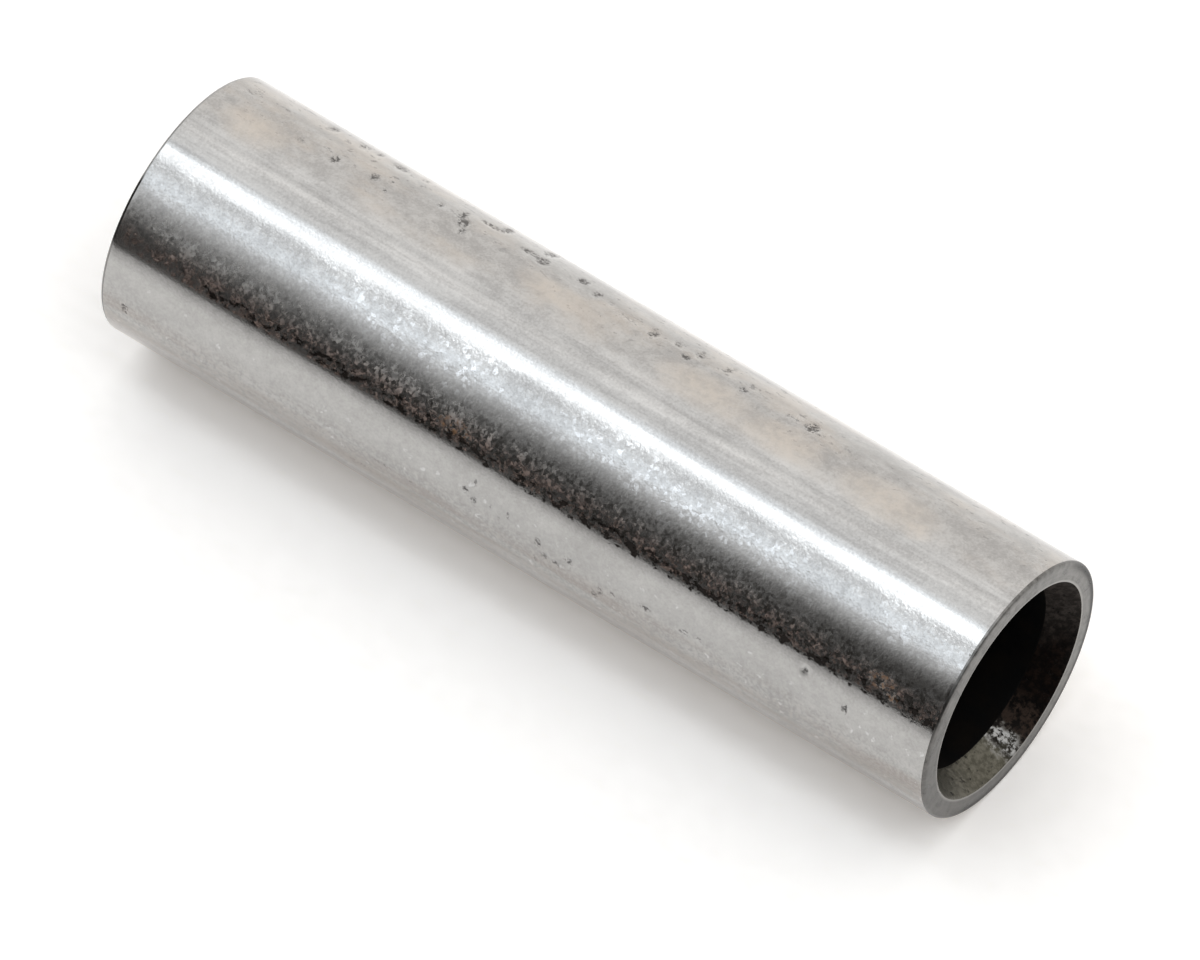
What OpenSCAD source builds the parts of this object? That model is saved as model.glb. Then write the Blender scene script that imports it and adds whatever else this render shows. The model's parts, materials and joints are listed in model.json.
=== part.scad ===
// Gudgeon pin of a small two-stroke engine: one hollow steel pin, turned and then ground outside.
// It stands on one end face, with its axis along Z. Both ends are alike. Sizes are in millimetres.

/* [Pin] */
// Outside diameter of the ground wall
pin_d = 8; // [4:0.1:20]
// Length over the two end faces
pin_l = 28; // [12:0.5:60]
// Thickness of the wall between the ground outside and the bore
wall_t = 1.12; // [0.7:0.02:3]
// Radius of the rounded outer edge at each end
edge_r = 0.1; // [0.02:0.01:0.5]

/* [Countersinks] */
// Width of each countersink along the radius, from the bore to its rim in the end face
countersink_w = 0.5; // [0.1:0.02:0.9]
// Full angle between opposite sides of each countersink
countersink_angle = 60; // [20:1:120]

/* [Hidden] */
$fn = 128;
// How far a cut reaches past the surface that it starts from
overcut = 1;
pin_r = pin_d / 2;
bore_r = pin_r - wall_t;
mouth_r = bore_r + countersink_w;
// How much the countersink's radius grows for each millimetre towards the end face
countersink_slope = tan(countersink_angle / 2);
countersink_depth = countersink_w / countersink_slope;

// Draws its children at the lower end of the wall's section, and their mirror image at the upper end
module at_both_ends() {
    children();
    translate([0, pin_l]) mirror([0, 1]) children();
}

// What is taken off the section's outer corner, which leaves a quarter round
module edge_cut() {
    translate([pin_r - edge_r, -overcut])
        difference() {
            square([edge_r + overcut, overcut + edge_r]);
            translate([0, overcut + edge_r]) circle(edge_r);
        }
}

// What is taken off the section's inner corner: a triangle with its long side along the countersink
module countersink_cut() {
    polygon([
        [bore_r - overcut * countersink_slope, -overcut],
        [mouth_r + overcut * countersink_slope, -overcut],
        [bore_r - overcut * countersink_slope, countersink_depth + overcut]
    ]);
}

// Half of the pin's lengthwise section: the wall, with its distance from the axis along X
module wall_section() {
    difference() {
        translate([bore_r, 0]) square([wall_t, pin_l]);
        at_both_ends() {
            edge_cut();
            countersink_cut();
        }
    }
}

// The whole pin is the wall's section turned once round the axis
module gudgeon_pin() {
    color("silver") rotate_extrude() wall_section();
}

gudgeon_pin();
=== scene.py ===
"""A ground steel gudgeon pin, worn and finely pitted, in front of a white table that touches its side.

The pin stands on one end face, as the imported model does, and the camera sees it as if it lay on the table.
Lengths are in metres, apart from the places in the materials, which are in millimetres, and names that end
in mm or px. A turn is an angle round the pin, in degrees: 0 faces straight away from the table, and it grows
towards the side of the camera. Colours are linear.
"""
import json
import math

import bmesh
import bpy
from mathutils import Matrix, Vector


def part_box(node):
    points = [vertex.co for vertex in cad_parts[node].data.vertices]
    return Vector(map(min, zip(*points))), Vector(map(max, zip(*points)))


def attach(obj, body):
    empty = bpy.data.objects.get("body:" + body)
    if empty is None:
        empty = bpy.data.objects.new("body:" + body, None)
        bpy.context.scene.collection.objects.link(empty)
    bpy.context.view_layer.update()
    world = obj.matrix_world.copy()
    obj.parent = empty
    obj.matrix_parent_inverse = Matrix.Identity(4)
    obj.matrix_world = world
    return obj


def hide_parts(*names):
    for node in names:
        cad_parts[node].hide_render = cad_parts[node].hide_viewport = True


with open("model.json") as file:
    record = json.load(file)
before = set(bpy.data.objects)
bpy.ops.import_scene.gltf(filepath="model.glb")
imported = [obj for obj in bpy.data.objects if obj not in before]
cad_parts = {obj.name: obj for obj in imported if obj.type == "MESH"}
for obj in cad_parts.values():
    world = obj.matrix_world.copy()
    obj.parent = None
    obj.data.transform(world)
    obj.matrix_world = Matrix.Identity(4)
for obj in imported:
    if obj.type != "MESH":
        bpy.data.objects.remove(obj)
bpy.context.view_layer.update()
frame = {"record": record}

MM = 0.001

# Sizes of the pin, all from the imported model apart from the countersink's angle
pin_low, pin_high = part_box("gudgeon_pin")
mount_sizes = {mount["name"]: mount["dims"] for mount in frame["record"]["mounts"]}
PIN_L = pin_high[2] - pin_low[2]
PIN_R = mount_sizes["outside"]["r_mm"] * MM
BORE_R = mount_sizes["bore"]["r_mm"] * MM
EDGE_R = (PIN_L - mount_sizes["outside"]["length_mm"] * MM) / 2
SINK_DEPTH = (PIN_L - mount_sizes["bore"]["length_mm"] * MM) / 2
SINK_HALF_ANGLE = math.radians(30)
MOUTH_R = BORE_R + SINK_DEPTH * math.tan(SINK_HALF_ANGLE)

# Broken edges at the countersinks' rims and at the bore's ends
MOUTH_BREAK = 0.03 * MM
BORE_BREAK = 0.02 * MM

# How finely the pin's mesh is cut
ROUND_STEPS = 256
EDGE_SEGMENTS = 6
MOUTH_SEGMENTS = 2
BORE_SEGMENTS = 1
WALL_CUTS = 279
FACE_CUTS = 7
SINK_CUTS = 9
BORE_CUTS = 15

# Lengths that differ by less than this count as the same
TOUCH = 0.001 * MM

# The pin's finishes, in the order of its materials
WALL_FINISH, FACE_FINISH, SINK_FINISH, BORE_FINISH = range(4)

# The table stands upright beside the pin and faces the same way as turn 0.
# It ends nearer to the pin on the camera's side than on the other
TABLE_TURN = math.radians(-45)
TABLE_HALF = 0.4
TABLE_FRONT = 0.19
AXIS = Vector((0, 0, 1))
AWAY = Vector((math.cos(TABLE_TURN), math.sin(TABLE_TURN), 0))
ACROSS = AXIS.cross(AWAY)

# The camera: its angles to the table and to the pin, its lens, and where the middle of the open mouth falls
CAMERA_LIFT = math.radians(54.09)
CAMERA_HEADING = math.radians(36.24)
CAMERA_DISTANCE = 544.3 * MM
CAMERA_NEAREST = 0.01
CAMERA_FARTHEST = 10.0
PHOTO_SIZE_PX = (1200, 960)
FOCAL_LENGTH_PX = 20004
MOUTH_PX = (1009.7, 691.0)
SENSOR_MM = 36


def plug(tree, socket, value):
    """Joins another node's output to a socket, or sets the socket's own value."""
    if isinstance(value, bpy.types.NodeSocket):
        tree.links.new(value, socket)
    else:
        socket.default_value = value


def node(tree, kind, inputs=None, **settings):
    """Adds a node with its settings, and fills its inputs, which are given by name or by number."""
    made = tree.nodes.new(kind)
    for name, value in settings.items():
        setattr(made, name, value)
    for name, value in (inputs or {}).items():
        plug(tree, made.inputs[name], value)
    return made


def maths(tree, operation, first, second=0.0):
    """One operation on two numbers, such as ADD or SUBTRACT."""
    return node(tree, "ShaderNodeMath", {0: first, 1: second}, operation=operation).outputs[0]


def joined(tree, operation, values):
    """All the values taken together, one after another, by one operation."""
    result = values[0]
    for value in values[1:]:
        result = maths(tree, operation, result, value)
    return result


def times(tree, *values):
    """All the values multiplied."""
    return joined(tree, "MULTIPLY", values)


def most(tree, *values):
    """The largest of the values."""
    return joined(tree, "MAXIMUM", values)


def swayed(tree, value, pattern, amount):
    """The value, moved up and down by a pattern that lies around 0.5."""
    return maths(tree, "ADD", value, times(tree, maths(tree, "SUBTRACT", pattern, 0.5), amount))


def ramp(tree, value, start, end, low=0.0, high=1.0):
    """Goes smoothly from low to high as the value goes from start to end."""
    inputs = {"Value": value, "From Min": start, "From Max": end, "To Min": low, "To Max": high}
    return node(tree, "ShaderNodeMapRange", inputs, interpolation_type="SMOOTHSTEP").outputs["Result"]


def band(tree, value, start, end, soft):
    """1 between start and end, and 0 outside them, with soft sides."""
    rise = ramp(tree, value, start - soft, start + soft)
    fall = ramp(tree, value, end - soft, end + soft, low=1.0, high=0.0)
    return times(tree, rise, fall)


def mix_colour(tree, amount, first, second):
    """The first colour where the amount is 0, and the second where it is 1."""
    mixer = node(tree, "ShaderNodeMix", {0: amount, 6: first, 7: second}, data_type="RGBA")
    return mixer.outputs[2]


def mix_number(tree, amount, first, second):
    """The first number where the amount is 0, and the second where it is 1."""
    return node(tree, "ShaderNodeMix", {0: amount, 2: first, 3: second}, data_type="FLOAT").outputs[0]


def noise(tree, place, scale, detail, roughness):
    """Cloudy noise around 0.5, with about `scale` clouds to each unit of the place."""
    inputs = {"Vector": place, "Scale": scale, "Detail": detail, "Roughness": roughness}
    return node(tree, "ShaderNodeTexNoise", inputs).outputs["Fac"]


def grains(tree, place, scale):
    """A number from 0 to 1 for each small grain, with about `scale` grains to each unit of the place."""
    cells = node(tree, "ShaderNodeTexVoronoi", {"Vector": place, "Scale": scale})
    return node(tree, "ShaderNodeSeparateColor", {0: cells.outputs["Color"]}).outputs[0]


def attribute(tree, name):
    """A number that is stored at the mesh's corners."""
    return node(tree, "ShaderNodeAttribute", attribute_name=name).outputs["Fac"]


def place_in_mm(tree):
    """Object coordinates in millimetres, with X away from the table, Y across it and Z along the pin."""
    corner = node(tree, "ShaderNodeTexCoord").outputs["Object"]
    inputs = {"Vector": corner, "Rotation": (0, 0, -TABLE_TURN), "Scale": (1 / MM, 1 / MM, 1 / MM)}
    return node(tree, "ShaderNodeMapping", inputs).outputs["Vector"]


def part_of(tree, place, letter):
    """One of a place's three coordinates: X, Y or Z."""
    return node(tree, "ShaderNodeSeparateXYZ", {0: place}).outputs[letter]


def drawn_out(tree, place, along):
    """The place with its Z multiplied. Below 1, this draws a pattern out along the pin."""
    return node(tree, "ShaderNodeVectorMath", {0: place, 1: (1, 1, along)}, operation="MULTIPLY").outputs[0]


def turn_of(tree, place):
    """The turn round the pin's axis, in degrees."""
    turn = maths(tree, "ARCTAN2", part_of(tree, place, "Y"), part_of(tree, place, "X"))
    return maths(tree, "DEGREES", turn)


def radius_of(tree, place):
    """The distance from the pin's axis."""
    flat = drawn_out(tree, place, 0)
    return node(tree, "ShaderNodeVectorMath", {0: flat}, operation="LENGTH").outputs["Value"]


def angle_from(tree, turn, centre):
    """How far a turn is from another one in degrees, whichever way round is shorter."""
    apart = maths(tree, "COSINE", maths(tree, "RADIANS", maths(tree, "SUBTRACT", turn, centre)))
    return maths(tree, "DEGREES", maths(tree, "ARCCOSINE", apart))


def bumped(tree, height, depth):
    """A normal that is tilted as if the surface rose by the depth where the height is 1."""
    inputs = {"Height": height, "Distance": depth, "Strength": 1.0}
    return node(tree, "ShaderNodeBump", inputs).outputs["Normal"]


def new_material(name):
    """A new material, with its node tree and its shader."""
    material = bpy.data.materials.new(name)
    material.use_nodes = True
    shader = material.node_tree.nodes["Principled BSDF"]
    return material, material.node_tree, shader


# Zones of the wall, as the turns where they start and end. Those of the sooty limit, which is partly a
# painted dark reflection, are ragged turns, like the dust's limit
UPPER_TURNS = (-80, -6)
PIT_ROW_TURNS = ((-36, -32), (-48, -44))
STREAKED_TURNS = (-8, 20)
FROST_AND_SPARKLE_TURNS = (23, 40)
FROST_RELIEF_TURNS = (24, 32)
DARK_GRAIN_TURNS = (41, 52)
SOOT_AND_REFLECTION_TURNS = (58.5, 63.7)
LONE_FLECK_TURNS = (68, 104)
GRAINY_AND_MIRRORED_TURNS = (84, 125)
FILM_AND_SHADE_TURNS = (88, 150)

# Colours of the wall, and how far its fine bumps stand up
STEEL_DARK = (0.325, 0.32, 0.313, 1)
STEEL_LIGHT = (0.515, 0.51, 0.50, 1)
STEEL_WARM = (0.43, 0.405, 0.375, 1)
# These two are partly painted shade on the side by the table
STEEL_LOW_AND_SHADE = (0.36, 0.352, 0.342, 1)
BROWN_FILM_AND_SHADE = (0.30, 0.25, 0.215, 1)
FAINT_TAN = (0.48, 0.415, 0.35, 1)
PALE_TAN = (0.54, 0.49, 0.435, 1)
DARK_SMEAR = (0.22, 0.20, 0.185, 1)
# Partly a painted sparkle of the bright light
FROST_AND_SPARKLE_WHITE = (0.78, 0.79, 0.80, 1)
DUST_BROWN = (0.245, 0.201, 0.182, 1)
DUST_RED_BROWN = (0.272, 0.206, 0.178, 1)
DUST_GREY = (0.335, 0.311, 0.282, 1)
DUST_DARK = (0.05, 0.04, 0.035, 1)
DARK_GRAIN = (0.12, 0.115, 0.11, 1)
# Partly a painted dark reflection
SOOT_AND_REFLECTION_BLACK = (0.017, 0.0135, 0.0115, 1)
RUST_BROWN = (0.20, 0.115, 0.065, 1)
PIT_DARK = (0.055, 0.048, 0.043, 1)
WALL_RELIEF = 0.008 * MM


class WallNodes:
    """The wall's node tree, with the coordinates, the noises and the limits that its layers share."""

    def __init__(self, tree):
        self.tree = tree
        self.place = place_in_mm(tree)
        self.turn = turn_of(tree, self.place)
        self.height = part_of(tree, self.place, "Z")
        self.mottle = noise(tree, self.place, scale=3.6, detail=4.0, roughness=0.62)
        self.grain = noise(tree, self.place, scale=13.0, detail=2.0, roughness=0.6)
        self.powder = noise(tree, self.place, scale=7.5, detail=3.0, roughness=0.6)
        self.clump = noise(tree, self.place, scale=2.2, detail=3.0, roughness=0.6)
        self.patch = noise(tree, drawn_out(tree, self.place, 0.6), scale=0.55, detail=4.0, roughness=0.6)
        self.upper = band(tree, self.turn, *UPPER_TURNS, soft=6)
        ragged = times(tree, mix_number(tree, 0.4, self.clump, self.grain), 5.0)
        self.ragged_turn = maths(tree, "ADD", self.turn, ragged)


def steel_tone(wall):
    """How light the bare steel is, around 0.5: mottled, with streaks beside the bright strip and behind."""
    tree, turn = wall.tree, wall.turn
    streak = noise(tree, drawn_out(tree, wall.place, 0.04), scale=4.5, detail=3.0, roughness=0.6)
    beside = times(tree, band(tree, turn, *STREAKED_TURNS, soft=6), 0.6)
    behind = ramp(tree, maths(tree, "ABSOLUTE", turn), 100, 130, high=0.5)
    tone = mix_number(tree, 0.55, wall.mottle, wall.patch)
    tone = mix_number(tree, most(tree, beside, behind), tone, streak)
    tone = mix_number(tree, 0.3, tone, wall.grain)

    # Plainer below the dust, cloudier on the upper side, and grainier near the table, where the grain partly
    # paints a reflection of the paper's fibres and shade
    plain = times(tree, ramp(tree, turn, 55, 66, high=0.35), ramp(tree, turn, 76, 88, low=1.0, high=0.0))
    tone = mix_number(tree, plain, tone, 0.5)
    cloud = noise(tree, drawn_out(tree, wall.place, 0.6), scale=1.5, detail=3.0, roughness=0.55)
    cloudy = times(tree, ramp(tree, turn, -4, 10, low=0.36, high=0.0), ramp(tree, turn, -150, -90))
    tone = swayed(tree, tone, cloud, cloudy)
    # Partly a painted reflection of the paper's fibres
    grainy_and_mirrored = times(tree, band(tree, turn, *GRAINY_AND_MIRRORED_TURNS, soft=8), 0.9)
    return swayed(tree, tone, wall.powder, grainy_and_mirrored)


def bare_steel(wall, tone):
    """The steel's colour: warmer above, greyer below, and under a thin brown layer near the table; the greyer
    and browner side by the table is partly painted shade.
    """
    tree = wall.tree
    colour = mix_colour(tree, ramp(tree, tone, 0.34, 0.66), STEEL_DARK, STEEL_LIGHT)
    colour = mix_colour(tree, times(tree, wall.upper, 0.18), colour, STEEL_WARM)
    # Partly painted shade: darker steel on the side towards the table
    colour = mix_colour(tree, ramp(tree, wall.turn, 58, 70, high=0.3), colour, STEEL_LOW_AND_SHADE)
    # A thin brown layer near the table, partly painted shade of the table's contact shadow as mirrored
    film_and_shade = noise(tree, drawn_out(tree, wall.place, 0.08), scale=2.0, detail=4.0, roughness=0.6)
    film_and_shade = ramp(tree, mix_number(tree, 0.3, film_and_shade, wall.powder), 0.40, 0.60, low=0.15, high=1.2)
    film_and_shade = times(tree, film_and_shade, band(tree, wall.turn, *FILM_AND_SHADE_TURNS, soft=11), 0.5)
    return mix_colour(tree, film_and_shade, colour, BROWN_FILM_AND_SHADE)


def stained(wall, colour):
    """Tan stains, faint on the upper side and pale in a few places, and smears along the rows of pits."""
    tree = wall.tree
    faint = times(tree, ramp(tree, wall.patch, 0.44, 0.66), wall.upper, 0.4)
    colour = mix_colour(tree, faint, colour, FAINT_TAN)
    pale = times(tree, attribute(tree, "stain"), ramp(tree, wall.mottle, 0.35, 0.65, low=0.6), 0.75)
    colour = mix_colour(tree, pale, colour, PALE_TAN)
    rows = most(tree, *[band(tree, wall.turn, *turns, soft=2.5) for turns in PIT_ROW_TURNS])
    smear = times(tree, rows, ramp(tree, wall.mottle, 0.38, 0.60, low=0.08, high=0.32))
    return mix_colour(tree, smear, colour, DARK_SMEAR)


def frost_and_sparkle_amount(wall):
    """How white the wall is: frost, partly a painted sparkle of the bright light, on the side towards the
    camera, and lone flecks nearer the table.
    """
    tree = wall.tree

    # Frost and its painted sparkle are thicker in patches and halfway along the pin
    thick = times(
        tree,
        band(tree, wall.turn, *FROST_AND_SPARKLE_TURNS, soft=6),
        ramp(tree, wall.height, 3, 10, low=0.35),
        ramp(tree, wall.height, 15, 24, low=1.0, high=0.45),
        ramp(tree, wall.patch, 0.42, 0.60, low=0.25),
    )
    broken = ramp(tree, wall.powder, 0.40, 0.55, low=0.3, high=1.4)
    spark = times(tree, ramp(tree, grains(tree, wall.place, 7.8), 0.72, 0.97), broken)
    spark = maths(tree, "MINIMUM", spark, 1.0)
    haze = times(tree, ramp(tree, wall.powder, 0.44, 0.72), 0.45)
    frost = times(tree, most(tree, haze, spark), thick)
    lone = times(
        tree,
        ramp(tree, grains(tree, wall.place, 7.0), 0.965, 0.995),
        ramp(tree, wall.powder, 0.46, 0.58),
        band(tree, wall.turn, *LONE_FLECK_TURNS, soft=5),
        0.35,
    )
    return most(tree, frost, lone)


def dust_amount(wall):
    """How thick the dust is: grains below the frost, in a zone that narrows upwards and ends raggedly."""
    tree, turn, height = wall.tree, wall.turn, wall.height
    leaning_turn = maths(tree, "SUBTRACT", turn, times(tree, height, 0.4))
    grained = mix_number(tree, 0.45, grains(tree, wall.place, 8.0), grains(tree, wall.place, 14.0))
    grained = mix_number(tree, 0.3, grained, wall.powder)
    grained = mix_number(tree, ramp(tree, height, 3, 11, low=0.55, high=0.0), grained, 0.52)
    return times(
        tree,
        ramp(tree, grained, 0.30, 0.78),
        ramp(tree, leaning_turn, 33, 46),
        ramp(tree, wall.ragged_turn, 61.5, 63.0, low=1.0, high=0.0),
        ramp(tree, turn, 52, 58, low=1.0, high=0.55),
        ramp(tree, wall.clump, 0.36, 0.62, low=0.55, high=1.1),
        ramp(tree, height, 0.0, 1.6, low=0.3, high=0.9),
        ramp(tree, height, 10, 15, low=1.0, high=0.75),
    )


def dusted(wall, colour, dust):
    """Dust laid on a colour: brown below, grey above, each grain of its own tone, and some dark grains."""
    tree, turn = wall.tree, wall.turn
    brown = mix_colour(tree, ramp(tree, wall.clump, 0.40, 0.60), DUST_BROWN, DUST_RED_BROWN)
    tint = mix_colour(tree, ramp(tree, turn, 44, 54), DUST_GREY, brown)
    shade = ramp(tree, grains(tree, wall.place, 10.5), 0.1, 0.9, high=0.6)
    tint = mix_colour(tree, shade, tint, DUST_DARK)
    cover = times(tree, ramp(tree, dust, 0.0, 0.25), ramp(tree, turn, 42, 54, low=0.3))
    colour = mix_colour(tree, cover, colour, tint)
    dark = ramp(tree, grains(tree, wall.place, 11.0), 0.62, 0.95)
    dark = times(tree, dark, band(tree, turn, *DARK_GRAIN_TURNS, soft=5), 0.55)
    return mix_colour(tree, dark, colour, DARK_GRAIN)


def soot_and_reflection_amount(wall):
    """How sooty the dust's limit is: in flecks, fuller and nearer the table on the pin's upper half, and
    partly a painted dark reflection of the table's mirrored edge.
    """
    tree, height = wall.tree, wall.height
    fleck = noise(tree, drawn_out(tree, wall.place, 0.7), scale=4.6, detail=4.0, roughness=0.7)
    soot_and_reflection_turn = maths(tree, "ADD", wall.ragged_turn, ramp(tree, height, 10, 14, low=2.0, high=0.0))
    return times(
        tree,
        ramp(tree, fleck, 0.49, 0.61),
        band(tree, soot_and_reflection_turn, *SOOT_AND_REFLECTION_TURNS, soft=1.0),
        ramp(tree, height, 1, 4),
        ramp(tree, height, 9, 14, low=0.7),
    )


def rust_amount(wall):
    """How rusty the wall is: in flecks, inside the rust patches."""
    tree = wall.tree
    fleck = noise(tree, wall.place, scale=7.0, detail=3.0, roughness=0.65)
    return times(tree, ramp(tree, attribute(tree, "rust"), 0.0, 0.7), ramp(tree, fleck, 0.42, 0.68))


def pit_amount(wall):
    """How dark pits make the wall: single ones with ragged sides, and faint specks, fewer behind."""
    tree, turn = wall.tree, wall.turn
    crumbled = noise(tree, wall.place, scale=10.0, detail=4.0, roughness=0.7)
    pit = times(tree, attribute(tree, "pit"), ramp(tree, crumbled, 0.36, 0.62, low=0.1, high=1.9))
    pit = ramp(tree, pit, 0.15, 1.1, high=0.85)
    above = times(tree, ramp(tree, turn, -28, -5, low=1.0, high=0.0), ramp(tree, turn, -140, -70, low=0.3))
    below = ramp(tree, turn, 66, 150, high=0.3)
    speck = noise(tree, drawn_out(tree, wall.place, 0.8), scale=4.6, detail=3.0, roughness=0.55)
    speck = times(
        tree,
        ramp(tree, speck, 0.60, 0.74),
        ramp(tree, wall.patch, 0.38, 0.58, low=0.15),
        most(tree, above, below),
        0.6,
    )
    return most(tree, pit, speck)


def wall_relief(wall):
    """How far the wall stands up: very fine grains all over, and coarser ones in the frost."""
    tree = wall.tree
    coarse = noise(tree, wall.place, scale=5.8, detail=2.0, roughness=0.55)
    coarse = times(tree, coarse, ramp(tree, wall.patch, 0.42, 0.60, high=1.5))
    frost = maths(tree, "ADD", wall.grain, coarse)
    frost = times(tree, frost, band(tree, wall.turn, *FROST_RELIEF_TURNS, soft=5))
    return maths(tree, "ADD", frost, times(tree, wall.grain, 0.15))


def ground_wall_material():
    """Ground steel: stained above, frosted at the side with a painted sparkle, dusty with rust below that and
    sooty at the dust's limit with a painted dark reflection, darker by the table with painted shade, and
    pitted.
    """
    material, tree, shader = new_material("ground_wall")
    wall = WallNodes(tree)
    tone = steel_tone(wall)
    white = frost_and_sparkle_amount(wall)
    dust = dust_amount(wall)
    soot_and_reflection = soot_and_reflection_amount(wall)
    rust = rust_amount(wall)
    pit = pit_amount(wall)
    colour = stained(wall, bare_steel(wall, tone))
    # Frost, partly a painted sparkle of the bright light's reflection
    colour = mix_colour(tree, white, colour, FROST_AND_SPARKLE_WHITE)
    colour = dusted(wall, colour, dust)
    # Sooty flecks, partly a painted dark reflection at the lower edge of the mirrored dark band
    colour = mix_colour(tree, ramp(tree, soot_and_reflection, 0.0, 0.5), colour, SOOT_AND_REFLECTION_BLACK)
    colour = mix_colour(tree, rust, colour, RUST_BROWN)
    colour = mix_colour(tree, pit, colour, PIT_DARK)
    plug(tree, shader.inputs["Base Color"], colour)

    # Dust, sooty flecks, pits and rust are dull. The sooty flecks, partly a painted dark reflection, get dull
    # only where their colour covers the steel well
    dull = most(tree, dust, ramp(tree, soot_and_reflection, 0.35, 1.0), pit, rust)
    plug(tree, shader.inputs["Metallic"], maths(tree, "SUBTRACT", 1.0, times(tree, dull, 0.95)))
    shader.inputs["Specular IOR Level"].default_value = 0.1
    rough = ramp(tree, tone, 0.3, 0.7, low=0.16, high=0.11)
    rough = mix_number(tree, white, rough, 0.30)
    plug(tree, shader.inputs["Roughness"], mix_number(tree, dull, rough, 0.5))
    plug(tree, shader.inputs["Normal"], bumped(tree, wall_relief(wall), WALL_RELIEF))
    return material


# Colours of the end faces, the turns between which the lower end's rounded edge is stained,
# and how far the fine rings stand up
FACE_DARK = (0.092, 0.090, 0.085, 1)
FACE_LIGHT = (0.215, 0.209, 0.20, 1)
# Painted shade
FACE_PAINTED_SHADE = (0.085, 0.083, 0.08, 1)
# Painted shade
EDGE_PAINTED_SHADE = (0.04, 0.038, 0.036, 1)
# Painted highlight
EDGE_GLINT = (0.42, 0.415, 0.405, 1)
EDGE_STAINED = (0.012, 0.011, 0.010, 1)
EDGE_STAIN_TURNS = (30, 60)
# Painted highlight
MOUTH_EDGE_HIGHLIGHT = (0.40, 0.39, 0.37, 1)
FACE_RELIEF = 0.004 * MM


def from_wall(steps):
    """A radius in millimetres, which lies so many edge radii inside the wall."""
    return (PIN_R - steps * EDGE_R) / MM


def end_face_material():
    """Turned and left satin: fine rings round the axis, painted shade on one side and in a dark line near the
    wall, and painted highlights on the mouth's pale rim and on one rounded edge.
    """
    material, tree, shader = new_material("turned_end_face")
    place = place_in_mm(tree)
    turn = turn_of(tree, place)
    radius = radius_of(tree, place)
    lower_end = ramp(tree, part_of(tree, place, "Z"), 1, 3, low=1.0, high=0.0)
    rings = node(tree, "ShaderNodeCombineXYZ", {"X": radius}).outputs[0]
    ring = noise(tree, rings, scale=12.0, detail=3.0, roughness=0.7)
    cloud = noise(tree, place, scale=3.4, detail=4.0, roughness=0.65)
    tone = mix_number(tree, 0.65, ring, cloud)
    colour = mix_colour(tree, ramp(tree, tone, 0.36, 0.64), FACE_DARK, FACE_LIGHT)
    # Painted shade: darker on the side around turn 120
    low = ramp(tree, angle_from(tree, turn, 120), 30, 110, low=0.35, high=0.0)
    colour = mix_colour(tree, low, colour, FACE_PAINTED_SHADE)

    # Painted shade: the dark line, on the side towards the table and away from the camera
    line = ramp(tree, radius, from_wall(3.0), from_wall(1.3), high=0.9)
    line = times(tree, line, ramp(tree, angle_from(tree, turn, 225), 70, 95, low=1.0, high=0.0))
    colour = mix_colour(tree, line, colour, EDGE_PAINTED_SHADE)

    # A painted highlight: the lower end's rounded edge is brighter where the bright strip's reflection runs
    # over it
    glint = times(
        tree,
        ramp(tree, radius, from_wall(1.0), from_wall(0.4)),
        ramp(tree, angle_from(tree, turn, 0), 42, 62, low=1.0, high=0.4),
        lower_end,
        0.75,
    )
    colour = mix_colour(tree, glint, colour, EDGE_GLINT)
    # A painted highlight along the edge of the mouth
    inner_highlight = ramp(tree, radius, MOUTH_R / MM, (MOUTH_R + EDGE_R) / MM, low=0.75, high=0.0)
    colour = mix_colour(tree, inner_highlight, colour, MOUTH_EDGE_HIGHLIGHT)

    # A dark stain on the lower end's rounded edge, beside the dust
    stain = times(
        tree,
        band(tree, turn, *EDGE_STAIN_TURNS, soft=3),
        ramp(tree, radius, from_wall(1.2), from_wall(0.9)),
        lower_end,
    )
    colour = mix_colour(tree, stain, colour, EDGE_STAINED)
    plug(tree, shader.inputs["Base Color"], colour)
    plug(tree, shader.inputs["Metallic"], maths(tree, "SUBTRACT", 1.0, most(tree, line, stain)))
    shader.inputs["Specular IOR Level"].default_value = 0.1
    plug(tree, shader.inputs["Roughness"], ramp(tree, cloud, 0.3, 0.7, low=0.26, high=0.36))
    plug(tree, shader.inputs["Normal"], bumped(tree, ring, FACE_RELIEF))
    return material


# Colours of the countersinks and the bore, and how far their scale stands up
OLIVE_DARK = (0.07, 0.066, 0.051, 1)
OLIVE_LIGHT = (0.125, 0.117, 0.094, 1)
# Painted glint
GLINT_METAL = (0.33, 0.326, 0.314, 1)
GREY_SCALE_DARK = (0.020, 0.0165, 0.014, 1)
GREY_SCALE_LIGHT = (0.060, 0.050, 0.044, 1)
BROWN_SCALE_DARK = (0.002, 0.0013, 0.001, 1)
BROWN_SCALE_LIGHT = (0.011, 0.006, 0.004, 1)
RUSTY_SCALE = (0.036, 0.024, 0.018, 1)
SPOT_DARK = (0.012, 0.010, 0.009, 1)
# Partly painted shade deep in the bore
BORE_BLACK_AND_SHADE = (0.0015, 0.0015, 0.0015, 1)
BORE_BROWN = (0.005, 0.0035, 0.0025, 1)
SCALE_RELIEF = 0.02 * MM


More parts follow.
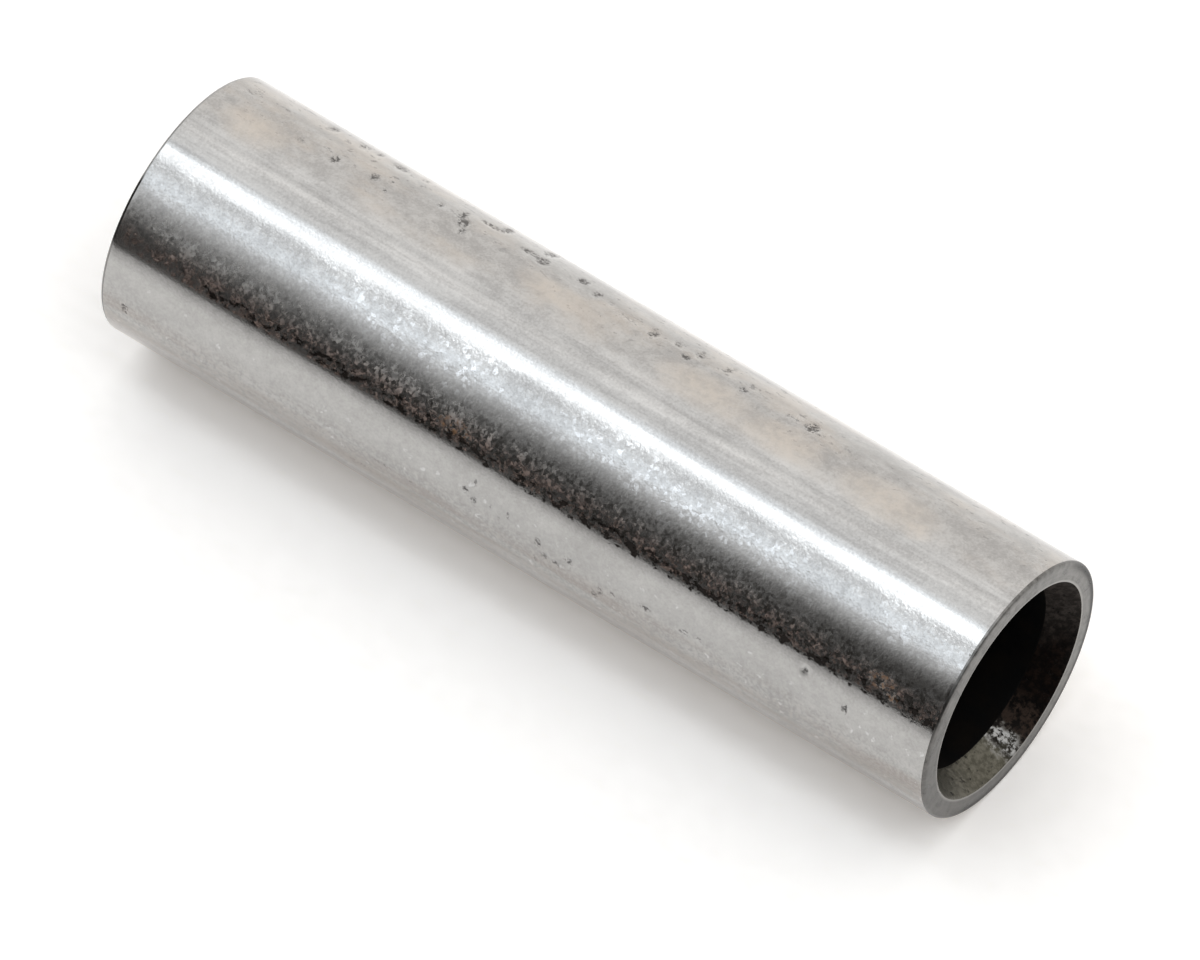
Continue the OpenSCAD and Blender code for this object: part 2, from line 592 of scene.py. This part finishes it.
def countersink_material():
    """Cut and never ground: olive metal on one side, a bright spot of painted glint, and dark scale on the
    rest.
    """
    material, tree, shader = new_material("oxidised_countersink")
    place = place_in_mm(tree)
    turn = turn_of(tree, place)
    cloud = noise(tree, place, scale=1.6, detail=5.0, roughness=0.65)
    grain = noise(tree, place, scale=5.5, detail=4.0, roughness=0.65)
    spot = ramp(tree, noise(tree, place, scale=4.8, detail=3.0, roughness=0.6), 0.61, 0.71)

    # Where each finish lies, by how far it is from a middle turn, with limits that wander
    from_olive = swayed(tree, angle_from(tree, turn, 141), cloud, 50.0)
    from_brown = swayed(tree, angle_from(tree, turn, -138), cloud, 50.0)
    from_glint = swayed(tree, angle_from(tree, turn, 187), cloud, 20.0)
    from_rust = angle_from(tree, turn, -160)
    olive = ramp(tree, from_olive, 38, 52, low=1.0, high=0.0)
    brown = ramp(tree, from_brown, 10, 60, low=1.0, high=0.0)
    # A painted glint: brighter metal where the light's reflection falls
    glint = times(tree, ramp(tree, from_glint, 3, 10, low=1.0, high=0.0), ramp(tree, grain, 0.42, 0.58))
    rusty = times(tree, ramp(tree, from_rust, 4, 16, low=1.0, high=0.0), ramp(tree, grain, 0.4, 0.6))
    bare = most(tree, olive, glint)

    metal = mix_colour(tree, ramp(tree, grain, 0.35, 0.65), OLIVE_DARK, OLIVE_LIGHT)
    metal = mix_colour(tree, glint, metal, GLINT_METAL)
    grey_scale = mix_colour(tree, ramp(tree, grain, 0.38, 0.66), GREY_SCALE_DARK, GREY_SCALE_LIGHT)
    brown_scale = mix_colour(tree, ramp(tree, grain, 0.42, 0.70), BROWN_SCALE_DARK, BROWN_SCALE_LIGHT)
    scale = mix_colour(tree, brown, grey_scale, brown_scale)
    scale = mix_colour(tree, rusty, scale, RUSTY_SCALE)
    colour = mix_colour(tree, bare, scale, metal)
    colour = mix_colour(tree, spot, colour, SPOT_DARK)
    plug(tree, shader.inputs["Base Color"], colour)
    plug(tree, shader.inputs["Metallic"], mix_number(tree, bare, 0.0, 0.9))
    plug(tree, shader.inputs["Roughness"], mix_number(tree, bare, 0.6, 0.32))
    shader.inputs["Specular IOR Level"].default_value = 0.04
    plug(tree, shader.inputs["Normal"], bumped(tree, maths(tree, "SUBTRACT", grain, spot), SCALE_RELIEF))
    return material


def bore_material():
    """Drilled and left with a black scale, a little brown in patches; its near-black colour is partly painted
    shade deep in the bore.
    """
    material, tree, shader = new_material("scaled_bore")
    cloud = noise(tree, place_in_mm(tree), scale=1.2, detail=5.0, roughness=0.6)
    colour = mix_colour(tree, ramp(tree, cloud, 0.4, 0.7), BORE_BLACK_AND_SHADE, BORE_BROWN)
    plug(tree, shader.inputs["Base Color"], colour)
    plug(tree, shader.inputs["Roughness"], ramp(tree, cloud, 0.3, 0.7, low=0.65, high=0.85))
    shader.inputs["Specular IOR Level"].default_value = 0.08
    plug(tree, shader.inputs["Normal"], bumped(tree, cloud, SCALE_RELIEF))
    return material


# The table's paper, its glow, and its painted pool of light: where paper and glow get darker towards the
# camera's side, in millimetres across it
PAPER_DARK = (0.88, 0.868, 0.853, 1)
PAPER_LIGHT = (0.93, 0.918, 0.903, 1)
BLACK = (0, 0, 0, 1)
GLOW_COLOUR = (1.0, 0.9, 0.8, 1)
GLOW_STRENGTH = 0.17
PAINTED_LIGHT_FALLOFF_MM = (14, 65)
PAINTED_FALLOFF_LEVEL = 0.6


def table_material():
    """White paper that glows a little to the eye and in reflections, dimmed across it by a painted pool of
    light, and is clear from behind.
    """
    material = bpy.data.materials.new("white_table")
    material.use_nodes = True
    tree = material.node_tree
    tree.nodes.clear()
    path = node(tree, "ShaderNodeLightPath").outputs
    seen = most(tree, path["Is Camera Ray"], path["Is Glossy Ray"], path["Is Transmission Ray"])
    place = place_in_mm(tree)
    # Painted light: the paper and its glow fade across the table towards the camera's side
    painted_light = ramp(tree, part_of(tree, place, "Y"), *PAINTED_LIGHT_FALLOFF_MM, low=1.0, high=PAINTED_FALLOFF_LEVEL)
    fibre = noise(tree, drawn_out(tree, place, 0.5), scale=3.0, detail=4.0, roughness=0.6)
    paper = mix_colour(tree, ramp(tree, fibre, 0.3, 0.7), PAPER_DARK, PAPER_LIGHT)
    paper = mix_colour(tree, painted_light, BLACK, paper)
    dull = node(tree, "ShaderNodeBsdfDiffuse", {"Color": paper})
    strength = times(tree, seen, painted_light, GLOW_STRENGTH)
    glow = node(tree, "ShaderNodeEmission", {"Color": GLOW_COLOUR, "Strength": strength})
    front = node(tree, "ShaderNodeAddShader", {0: dull.outputs[0], 1: glow.outputs[0]})
    back = node(tree, "ShaderNodeBsdfTransparent")
    behind = node(tree, "ShaderNodeNewGeometry").outputs["Backfacing"]
    sides = node(tree, "ShaderNodeMixShader", {0: behind, 1: front.outputs[0], 2: back.outputs[0]})
    node(tree, "ShaderNodeOutputMaterial", {"Surface": sides.outputs[0]})
    return material


# The light all round: the angle from turn 0 towards the camera's side, the brightness and the warmth
TENT = (
    (-90, 1.10, 0.02),
    (-60, 1.14, 0.02),
    (-42, 1.22, 0.01),
    (-35, 1.32, 0.01),
    (-31, 1.12, 0.01),
    (-28, 1.16, 0.01),
    (-22, 1.48, 0.01),
    (-15, 1.28, 0.00),
    (-10, 1.20, 0.00),
    (-6, 1.24, 0.00),
    (-2, 1.52, -0.05),
    (1, 3.00, -0.05),
    (8.7, 3.00, -0.03),
    (11, 1.50, -0.05),
    (16, 1.07, -0.01),
    (25, 1.62, -0.05),
    (31, 1.94, -0.07),
    (37, 1.36, -0.03),
    (43, 0.78, -0.01),
    (50, 0.50, 0.00),
    (57, 0.165, 0.02),
    (65, 0.058, 0.08),
    (80, 0.03, 0.12),
    (90, 0.03, 0.12),
)
TENT_START = -90
TENT_END = 90

# The tent leans along the pin. Between two slopes of the light, its angles shift from minus to plus an
# amount, and that amount goes from the first of LEAN_SHIFTS to the second between the two LEAN_ANGLES
LEAN_SLOPES = (-0.41, -0.29)
LEAN_ANGLES = (34, 54)
LEAN_SHIFTS = (-2.5, 10)

# The slopes between which the light gets weaker towards the tent's two ends, and its strength there
END_SLOPES = (0.66, 0.86)
END_STRENGTH = 0.25


def studio_world():
    """Soft light all round: a bright strip along the pin, a dark side below it, and weaker ends."""
    world = bpy.data.worlds.new("light_tent")
    world.use_nodes = True
    tree = world.node_tree
    tree.nodes.clear()
    direction = node(tree, "ShaderNodeTexCoord").outputs["Generated"]
    turned = node(tree, "ShaderNodeMapping", {"Vector": direction, "Rotation": (0, 0, -TABLE_TURN)})
    angle = turn_of(tree, turned.outputs["Vector"])
    slope = part_of(tree, direction, "Z")
    side = ramp(tree, slope, *LEAN_SLOPES, low=-1.0, high=1.0)
    lean = times(tree, side, ramp(tree, angle, *LEAN_ANGLES, *LEAN_SHIFTS))
    inputs = {"Value": maths(tree, "ADD", angle, lean), "From Min": TENT_START, "From Max": TENT_END}
    share = node(tree, "ShaderNodeMapRange", inputs).outputs["Result"]
    tent = node(tree, "ShaderNodeValToRGB", {"Fac": share})
    stops = tent.color_ramp.elements
    while len(stops) < len(TENT):
        stops.new(0.5)
    for stop, (degrees, brightness, warmth) in zip(stops, TENT):
        stop.position = (degrees - TENT_START) / (TENT_END - TENT_START)
        stop.color = (brightness * (1 + warmth), brightness, brightness * (1 - warmth), 1)
    strength = ramp(tree, maths(tree, "ABSOLUTE", slope), *END_SLOPES, low=1.0, high=END_STRENGTH)
    light = node(tree, "ShaderNodeBackground", {"Color": tent.outputs["Color"], "Strength": strength})
    node(tree, "ShaderNodeOutputWorld", {"Surface": light.outputs[0]})
    bpy.context.scene.world = world


def from_axis(corner):
    """How far a corner of the mesh is from the pin's axis."""
    return math.hypot(corner.co.x, corner.co.y)


def rings_at(mesh, radius, heights):
    """The edges that run round the axis at a radius, at any of the heights."""
    found = []
    for edge in mesh.edges:
        first, second = edge.verts
        level = abs(first.co.z - second.co.z) < TOUCH
        at_radius = abs(from_axis(first) - radius) < TOUCH and abs(from_axis(second) - radius) < TOUCH
        if level and at_radius and any(abs(first.co.z - height) < TOUCH for height in heights):
            found.append(edge)
    return found


def finish_across(middle, drop, reach):
    """Which finish an edge across it lies in, from its middle and how far it goes down and inwards."""
    if reach < TOUCH:
        return WALL_FINISH if math.hypot(middle.x, middle.y) > MOUTH_R else BORE_FINISH
    return FACE_FINISH if drop < TOUCH else SINK_FINISH


def cross_edges(mesh, finish):
    """The edges that run across one finish of the pin's section, from one of its sides to the other."""
    found = []
    for edge in mesh.edges:
        first, second = edge.verts
        drop = abs(first.co.z - second.co.z)
        reach = abs(from_axis(first) - from_axis(second))
        middle = (first.co + second.co) / 2
        if max(drop, reach) > 2 * EDGE_R and finish_across(middle, drop, reach) == finish:
            found.append(edge)
    return found


def spun_pin():
    """The bare pin: the six corners of its section, turned once round the axis."""
    section = (
        (BORE_R, SINK_DEPTH),
        (MOUTH_R, 0.0),
        (PIN_R, 0.0),
        (PIN_R, PIN_L),
        (MOUTH_R, PIN_L),
        (BORE_R, PIN_L - SINK_DEPTH),
    )
    mesh = bmesh.new()
    corners = [mesh.verts.new((radius, 0.0, height)) for radius, height in section]
    sides = [mesh.edges.new((corners[index - 1], corner)) for index, corner in enumerate(corners)]
    bmesh.ops.spin(
        mesh,
        geom=corners + sides,
        axis=AXIS,
        angle=math.tau,
        steps=ROUND_STEPS,
        use_merge=True,
    )
    bmesh.ops.recalc_face_normals(mesh, faces=mesh.faces)
    return mesh


def break_edges(mesh, radius, heights, size, segments):
    """Rounds the edges that run round the pin at a radius, at both of the heights."""
    bmesh.ops.bevel(
        mesh,
        geom=rings_at(mesh, radius, heights),
        offset=size,
        offset_type="OFFSET",
        affect="EDGES",
        segments=segments,
        profile=0.5,
        material=-1,
    )


def cut_across(mesh, finish, cuts):
    """Cuts one finish of the pin into narrow rings."""
    bmesh.ops.subdivide_edges(mesh, edges=cross_edges(mesh, finish), cuts=cuts, use_grid_fill=True)


# Single pits: the turn in degrees, and in millimetres the height above the lower end, the half sizes round
# the pin and along it, and the depth
PITS = (
    (-36, 0.8, 0.45, 0.30, 0.012),
    (-43, 3.1, 0.38, 0.20, 0.022),
    (-43, 4.15, 0.38, 0.20, 0.022),
    (-45, 4.6, 0.32, 0.14, 0.018),
    (-44, 5.35, 0.40, 0.38, 0.022),
    (-46, 6.15, 0.34, 0.16, 0.016),
    (-21, 4.1, 0.24, 0.18, 0.035),
    (-20.5, 2.95, 0.22, 0.24, 0.014),
    (-24.5, 5.3, 0.26, 0.20, 0.028),
    (-27, 5.75, 0.18, 0.12, 0.020),
    (-20, 5.85, 0.13, 0.18, 0.024),
    (-31.5, 7.25, 0.30, 0.14, 0.020),
    (-34, 7.9, 0.40, 0.15, 0.030),
    (-28.5, 8.15, 0.32, 0.22, 0.034),
    (-22.5, 8.35, 0.24, 0.14, 0.026),
    (-39, 8.65, 0.20, 0.42, 0.032),
    (-44, 9.0, 0.55, 0.18, 0.032),
    (-35.5, 10.1, 0.20, 0.38, 0.030),
    (-34.5, 10.6, 0.34, 0.26, 0.034),
    (-47, 10.4, 0.55, 0.22, 0.028),
    (-37.5, 11.85, 0.28, 0.22, 0.034),
    (-33.5, 12.5, 0.28, 0.16, 0.030),
    (-33, 13.0, 0.18, 0.12, 0.018),
    (-29.5, 13.7, 0.18, 0.55, 0.014),
    (-28.5, 14.6, 0.30, 0.16, 0.032),
    (-32, 15.35, 0.28, 0.22, 0.020),
    (-33.5, 16.0, 0.28, 0.16, 0.024),
    (-26.5, 15.8, 0.22, 0.18, 0.028),
    (-36, 16.9, 0.38, 0.18, 0.022),
    (-27.5, 17.7, 0.22, 0.18, 0.030),
    (-28, 19.2, 0.18, 0.14, 0.018),
    (-29, 19.95, 0.34, 0.24, 0.042),
    (88, 0.85, 0.30, 0.16, 0.024),
    (70, 12.7, 0.18, 0.09, 0.017),
    (76, 12.45, 0.16, 0.16, 0.024),
    (78.5, 12.75, 0.16, 0.16, 0.024),
    (76.5, 13.3, 0.14, 0.10, 0.013),
    (76.5, 13.9, 0.18, 0.10, 0.019),
    (80.5, 13.6, 0.12, 0.16, 0.012),
    (81, 14.95, 0.20, 0.16, 0.026),
    (81, 16.0, 0.16, 0.18, 0.025),
    (86.5, 15.2, 0.18, 0.16, 0.017),
    (87, 15.6, 0.16, 0.20, 0.018),
    (91.5, 14.9, 0.18, 0.12, 0.015),
    (88, 17.1, 0.26, 0.14, 0.019),
    (92, 16.9, 0.24, 0.14, 0.019),
    (85, 17.5, 0.14, 0.12, 0.019),
    (82, 18.6, 0.12, 0.26, 0.022),
    (82.5, 19.9, 0.14, 0.24, 0.021),
    (81.5, 20.4, 0.12, 0.14, 0.019),
    (66.5, 23.75, 0.14, 0.12, 0.042),
    (73, 25.2, 0.20, 0.12, 0.036),
    (89, 9.7, 0.14, 0.80, 0.009),
    (90, 10.7, 0.12, 0.40, 0.009),
    (99, 8.9, 0.16, 0.70, 0.009),
    (27, 27.93, 0.08, 0.09, 0.03),
)

# A pit of this depth is marked with 1 for the wall's material
FULL_PIT_MM = 0.035

# Rust patches: turn, height and half sizes as above
RUST_PATCHES = (
    (53, 26.0, 0.30, 0.60),
    (57, 26.4, 0.20, 0.30),
    (53, 11.6, 0.30, 0.70),
)

# Pale tan stains: turn, height and half sizes as above
TAN_STAINS = (
    (-13, 1.7, 0.80, 1.20),
    (-19, 11.6, 0.60, 1.30),
    (-15, 17.0, 0.80, 1.80),
    (-12.5, 19.7, 0.70, 1.50),
    (-13, 23.2, 0.90, 1.90),
    (-8, 24.4, 0.45, 0.60),
)


def nearness(corner, turn, height_mm, half_round_mm, half_along_mm):
    """1 at the middle of a mark on the wall, and 0 beyond its half sizes."""
    corner_turn = math.atan2(corner.co.dot(ACROSS), corner.co.dot(AWAY))
    swing = (corner_turn - math.radians(turn) + math.pi) % math.tau - math.pi
    round_share = swing * PIN_R / MM / half_round_mm
    along_share = (corner.co.z / MM - height_mm) / half_along_mm
    return max(0.0, 1.0 - round_share ** 2 - along_share ** 2)


def mark_wall(mesh):
    """Sinks the pits into the wall, and stores where pits, rust and stains are for the wall's material."""
    pit_layer = mesh.verts.layers.float.new("pit")
    rust_layer = mesh.verts.layers.float.new("rust")
    stain_layer = mesh.verts.layers.float.new("stain")
    for corner in mesh.verts:
        if from_axis(corner) < PIN_R - TOUCH:
            continue
        sunk_mm = max(nearness(corner, *mark) * depth_mm for *mark, depth_mm in PITS)
        corner[pit_layer] = sunk_mm / FULL_PIT_MM
        corner[rust_layer] = max(nearness(corner, *mark) for mark in RUST_PATCHES)
        corner[stain_layer] = max(nearness(corner, *mark) for mark in TAN_STAINS)
        share = (PIN_R - sunk_mm * MM) / PIN_R
        corner.co.x *= share
        corner.co.y *= share


def finish_faces(mesh):
    """Shades the faces smooth and gives each its finish."""
    for face in mesh.faces:
        middle = face.calc_center_median()
        radius = math.hypot(middle.x, middle.y)
        from_end = min(middle.z, PIN_L - middle.z)
        face.smooth = True
        if radius > PIN_R - EDGE_R and from_end > EDGE_R:
            face.material_index = WALL_FINISH
        elif radius > MOUTH_R:
            face.material_index = FACE_FINISH
        elif from_end < SINK_DEPTH:
            face.material_index = SINK_FINISH
        else:
            face.material_index = BORE_FINISH


def add_object(mesh, name, materials):
    """Puts a finished mesh into the scene with its materials."""
    data = bpy.data.meshes.new(name)
    mesh.to_mesh(data)
    mesh.free()
    for material in materials:
        data.materials.append(material)
    added = bpy.data.objects.new(name, data)
    bpy.context.scene.collection.objects.link(added)
    return added


def make_pin():
    """The finished pin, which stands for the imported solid."""
    mesh = spun_pin()
    ends = (0.0, PIN_L)
    bore_ends = (SINK_DEPTH, PIN_L - SINK_DEPTH)
    break_edges(mesh, PIN_R, ends, EDGE_R, EDGE_SEGMENTS)
    break_edges(mesh, MOUTH_R, ends, MOUTH_BREAK, MOUTH_SEGMENTS)
    break_edges(mesh, BORE_R, bore_ends, BORE_BREAK, BORE_SEGMENTS)
    cut_across(mesh, WALL_FINISH, WALL_CUTS)
    cut_across(mesh, FACE_FINISH, FACE_CUTS)
    cut_across(mesh, SINK_FINISH, SINK_CUTS)
    cut_across(mesh, BORE_FINISH, BORE_CUTS)
    mark_wall(mesh)
    finish_faces(mesh)
    finishes = (ground_wall_material(), end_face_material(), countersink_material(), bore_material())
    pin = add_object(mesh, "ground_pin", finishes)
    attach(pin, "root")
    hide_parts("gudgeon_pin")


def facing(right, up, back):
    """The turn that brings X, Y and Z to three directions."""
    return Matrix((right, up, back)).transposed().to_4x4()


def make_table():
    """A white table that touches the pin's side along one line."""
    middle = ACROSS * (TABLE_FRONT - TABLE_HALF) - AWAY * PIN_R
    place = Matrix.Translation(middle) @ facing(ACROSS, AXIS, AWAY)
    mesh = bmesh.new()
    bmesh.ops.create_grid(mesh, x_segments=1, y_segments=1, size=TABLE_HALF, matrix=place)
    table = add_object(mesh, "table", [table_material()])


def make_camera():
    """A long lens that looks down on the table, turned so that the pin runs down to the right."""
    along_right = AXIS * math.cos(CAMERA_HEADING) - ACROSS * math.sin(CAMERA_HEADING)
    towards = AXIS * math.sin(CAMERA_HEADING) + ACROSS * math.cos(CAMERA_HEADING)
    back = AWAY * math.sin(CAMERA_LIFT) + towards * math.cos(CAMERA_LIFT)
    up = back.cross(along_right)
    px_size = CAMERA_DISTANCE / FOCAL_LENGTH_PX
    right_of_centre = (MOUTH_PX[0] - PHOTO_SIZE_PX[0] / 2) * px_size
    below_centre = (MOUTH_PX[1] - PHOTO_SIZE_PX[1] / 2) * px_size
    mouth = AXIS * PIN_L
    spot = mouth + back * CAMERA_DISTANCE - along_right * right_of_centre + up * below_centre
    data = bpy.data.cameras.new("camera")
    data.sensor_width = SENSOR_MM
    data.lens = SENSOR_MM * FOCAL_LENGTH_PX / PHOTO_SIZE_PX[0]
    data.clip_start = CAMERA_NEAREST
    data.clip_end = CAMERA_FARTHEST
    camera = bpy.data.objects.new("camera", data)
    camera.matrix_world = Matrix.Translation(spot) @ facing(along_right, up, back)
    bpy.context.scene.collection.objects.link(camera)
    bpy.context.scene.camera = camera


make_camera()
make_table()
studio_world()
make_pin()
bpy.context.scene.view_settings.view_transform = "Standard"
